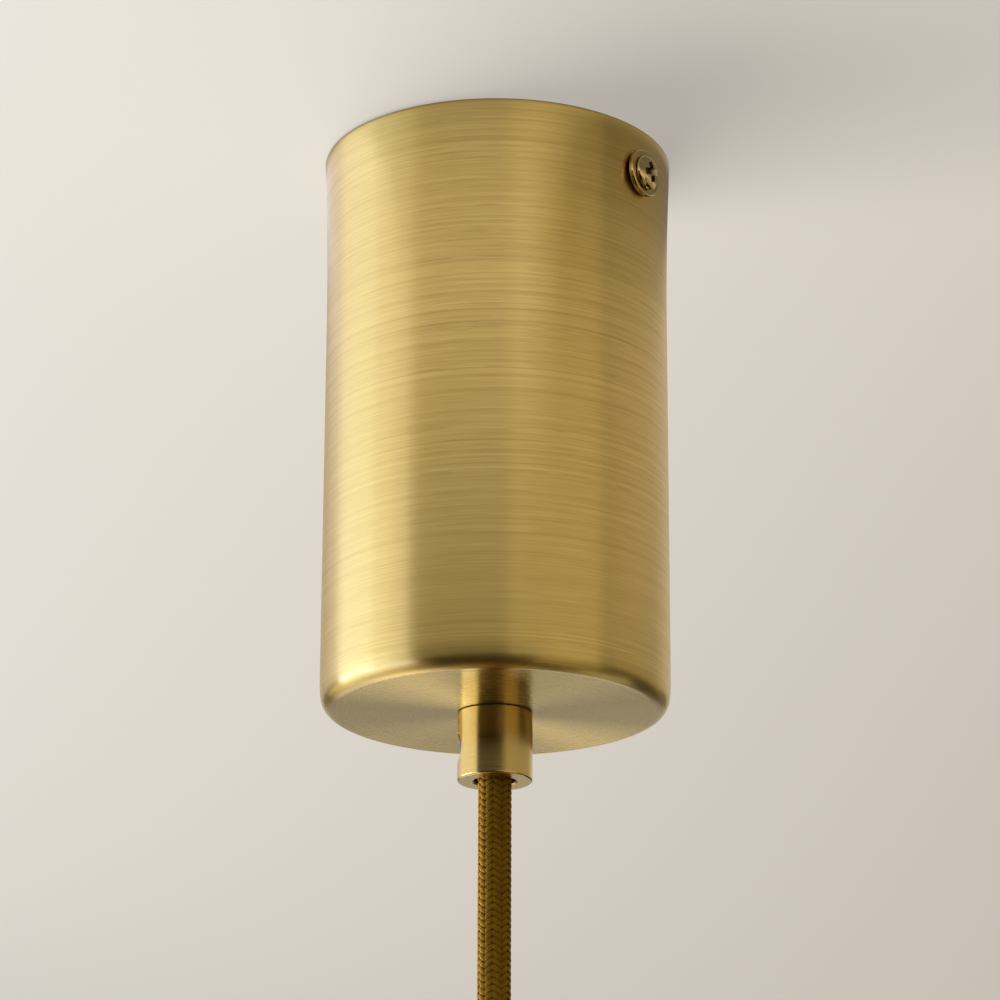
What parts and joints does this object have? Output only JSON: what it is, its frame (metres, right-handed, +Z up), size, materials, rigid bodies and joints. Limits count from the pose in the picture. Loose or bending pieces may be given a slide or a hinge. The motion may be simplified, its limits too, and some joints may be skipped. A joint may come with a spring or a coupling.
{
  "type": "pendant light",
  "caption": "Pendant light: tall brushed brass cup canopy on a ceiling strap, screw cord grip, braided cord and a small brass lampholder.",
  "frame": {"origin": "centre of the ceiling strap's top face, in the ceiling plane", "axes": "+Z up out of the ceiling face, +X along the strap and the two side screws"},
  "size_m": [0.067, 0.061, 0.2299],
  "materials": {
    "brushed_brass": "fine brushed, clear lacquered",
    "zinc_steel": "zinc plated",
    "clear_nylon": "clear moulded",
    "white_plastic": "moulded",
    "plain_brass": "as drawn",
    "braid": "braided yarn",
    "brown_sheath": "extruded",
    "blue_sheath": "extruded",
    "green_sheath": "extruded, green and yellow",
    "socket_white": "moulded",
    "nickel": "nickel plated"
  },
  "bodies": {
    "canopy": {"ceiling_bracket": "zinc_steel", "canopy_cup": "brushed_brass", "cord_grip": "brushed_brass", "grip_washer": "zinc_steel", "grip_nut": "zinc_steel", "terminal_block": "white_plastic", "terminal_inserts": "plain_brass", "terminal_screws": "zinc_steel", "block_screws": "zinc_steel", "earth_screw": "zinc_steel", "earth_lug": "plain_brass", "earth_lead": "green_sheath", "core_live": "brown_sheath", "core_neutral": "blue_sheath", "core_earth": "green_sheath", "cord_tail": "braid"},
    "right_washer": {"side_washer_right": "brushed_brass"},
    "right_screw": {"side_screw_right": "brushed_brass"},
    "left_washer": {"side_washer_left": "brushed_brass"},
    "left_screw": {"side_screw_left": "brushed_brass"},
    "grip_screw": {"grip_set_screw": "clear_nylon"},
    "bend": {"cord_bend": "braid"},
    "hang": {"cord": "braid"},
    "lamp": {"holder_grip": "brushed_brass", "holder_cover": "brushed_brass", "holder_earth_tag": "zinc_steel", "holder_nut": "zinc_steel", "holder_cord_end": "braid", "holder_core_live": "brown_sheath", "holder_core_neutral": "blue_sheath", "holder_core_earth": "green_sheath", "socket_cap": "socket_white", "socket_body": "socket_white", "screw_shell": "nickel", "socket_terminals": "zinc_steel", "contact_rivet": "plain_brass"},
    "holder_screw": {"holder_set_screw": "clear_nylon"},
    "contact": {"centre_contact": "plain_brass"}
  },
  "joints": [
    {"name": "right_washer_slide", "type": "slide", "parent": "canopy", "child": "right_washer", "axis": [1, 0, 0], "range_m": [0, 0.004]},
    {"name": "right_screw_turn", "type": "hinge", "parent": "right_washer", "child": "right_screw", "pos_m": [0.03134, 0, -0.0083], "axis": [1, 0, 0], "range_deg": [0, 2881]},
    {"name": "left_washer_slide", "type": "slide", "parent": "canopy", "child": "left_washer", "axis": [-1, 0, 0], "range_m": [0, 0.004]},
    {"name": "left_screw_turn", "type": "hinge", "parent": "left_washer", "child": "left_screw", "pos_m": [-0.03134, 0, -0.0083], "axis": [-1, 0, 0], "range_deg": [0, 2881]},
    {"name": "grip_screw_slide", "type": "slide", "parent": "canopy", "child": "grip_screw", "axis": [-0.8192, -0.5736, 0], "range_m": [0, 0.003]},
    {"name": "swing_x", "type": "hinge", "parent": "canopy", "child": "bend", "pos_m": [0, 0, -0.1119], "axis": [1, 0, 0], "range_deg": [-20, 20]},
    {"name": "swing_y", "type": "hinge", "parent": "bend", "child": "hang", "pos_m": [0, 0, -0.1119], "axis": [0, 1, 0], "range_deg": [-20, 20]},
    {"name": "drop_adjust", "type": "slide", "parent": "hang", "child": "lamp", "axis": [0, 0, 1], "range_m": [0, 0.03], "deforming": ["cord"]},
    {"name": "holder_screw_slide", "type": "slide", "parent": "lamp", "child": "holder_screw", "axis": [-0.8192, -0.5736, 0], "range_m": [0, 0.003]},
    {"name": "contact_press", "type": "hinge", "parent": "lamp", "child": "contact", "pos_m": [0.0068, 0, -0.2005], "axis": [0, 1, 0], "range_deg": [0, 13], "stiffness_Nm_per_rad": 0.05}
  ],
  "couplings": [
    {"joint": "right_screw_turn", "follows": "right_washer_slide", "rad_per_m": 12566},
    {"joint": "left_screw_turn", "follows": "left_washer_slide", "rad_per_m": 12566}
  ]
}
